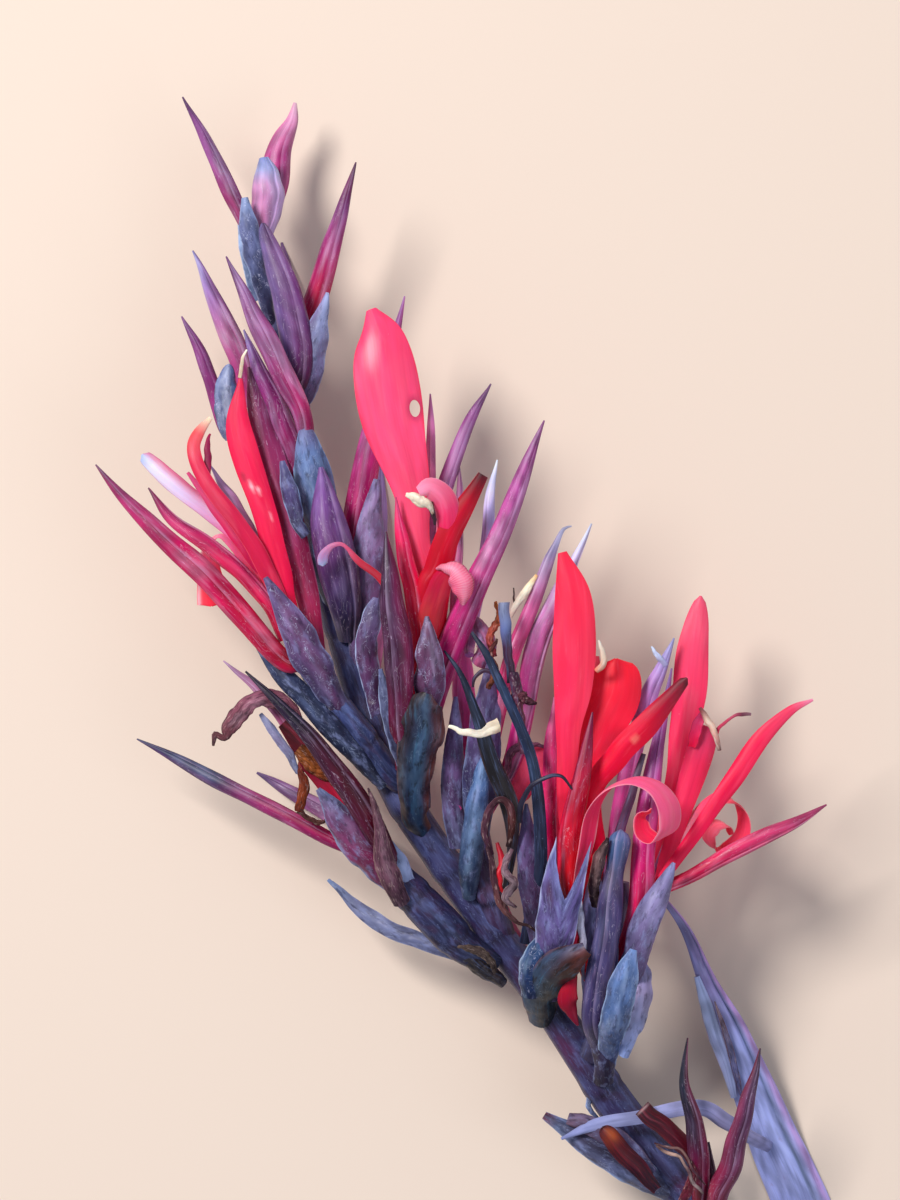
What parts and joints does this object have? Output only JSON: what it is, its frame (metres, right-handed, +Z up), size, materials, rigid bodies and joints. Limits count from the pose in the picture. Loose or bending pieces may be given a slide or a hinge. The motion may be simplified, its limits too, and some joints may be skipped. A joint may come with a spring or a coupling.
{
  "type": "canna lily flower stem",
  "caption": "One picked canna lily stem lying flat, with branches, slate bracts, pointed purple petals, narrow red petals and a folded leaf.",
  "frame": {"origin": "centre of the stem's bounding box on the surface it lies on", "axes": "+Z up from the surface, +Y towards the flower tips, +X to the right with the stem seen from above"},
  "size_m": [0.1876, 0.3158, 0.0615],
  "materials": {
    "bract_skin": "slate blue bract with a waxy bloom and dark edges",
    "dry_skin": "dried papery brown tissue, orange-brown inside",
    "leaf_skin": "lavender folded leaf with a pink rim",
    "petal_skin": "bright red soft petal with fine lengthwise veins",
    "spike_skin": "rolled mauve petal with a pale bloom, crimson towards its base",
    "stem_skin": "dark indigo fleshy stem with a pale waxy bloom"
  },
  "bodies": {
    "root": {"main_stem": "stem_skin", "left_lower_branch": "stem_skin", "left_upper_branch": "stem_skin", "right_branch": "stem_skin", "centre_branch": "stem_skin", "top_spike": "spike_skin", "top_bud": "spike_skin", "round_bud": "spike_skin", "large_bud": "spike_skin", "top_right_spike": "spike_skin", "upper_left_spike": "spike_skin", "upper_front_spike": "spike_skin", "upper_middle_spike": "spike_skin", "blue_bract_bud": "spike_skin", "left_long_spike": "spike_skin", "lower_long_spike": "spike_skin", "lower_dark_petal": "spike_skin", "centre_back_spike": "spike_skin", "centre_right_spike": "spike_skin", "centre_dark_spike": "spike_skin", "middle_spike": "spike_skin", "right_low_spike": "spike_skin", "right_tall_spike": "spike_skin", "right_front_spike": "spike_skin", "blue_bud": "spike_skin", "bottom_dark_spike": "spike_skin", "bottom_red_spike": "spike_skin", "under_top_spike": "spike_skin", "under_centre_spike": "spike_skin", "under_left_spike": "spike_skin", "under_right_spike": "spike_skin", "top_right_bract": "bract_skin", "big_blue_bract": "bract_skin", "left_bract": "bract_skin", "left_dark_bract": "bract_skin", "lower_bract": "bract_skin", "lower_leaf_bract": "bract_skin", "centre_back_bract": "bract_skin", "centre_front_bract": "bract_skin", "green_brown_bract": "bract_skin", "middle_bract": "bract_skin", "right_bract": "bract_skin", "right_teal_bract": "bract_skin", "right_green_bract": "bract_skin", "bottom_bract": "dry_skin", "big_leaf": "leaf_skin", "ribbon_leaf": "leaf_skin", "dark_long_leaf": "stem_skin", "left_red_petal": "petal_skin", "left_purple_petal": "spike_skin", "left_curled_petal": "petal_skin", "centre_red_petal": "petal_skin", "centre_crimson_petal": "petal_skin", "centre_curled_petal": "petal_skin", "right_tall_petal": "petal_skin", "right_round_petal": "petal_skin", "right_dark_tip_petal": "petal_skin", "right_back_petal": "petal_skin", "right_long_petal": "petal_skin", "right_curled_petal": "petal_skin"}
  },
  "joints": []
}
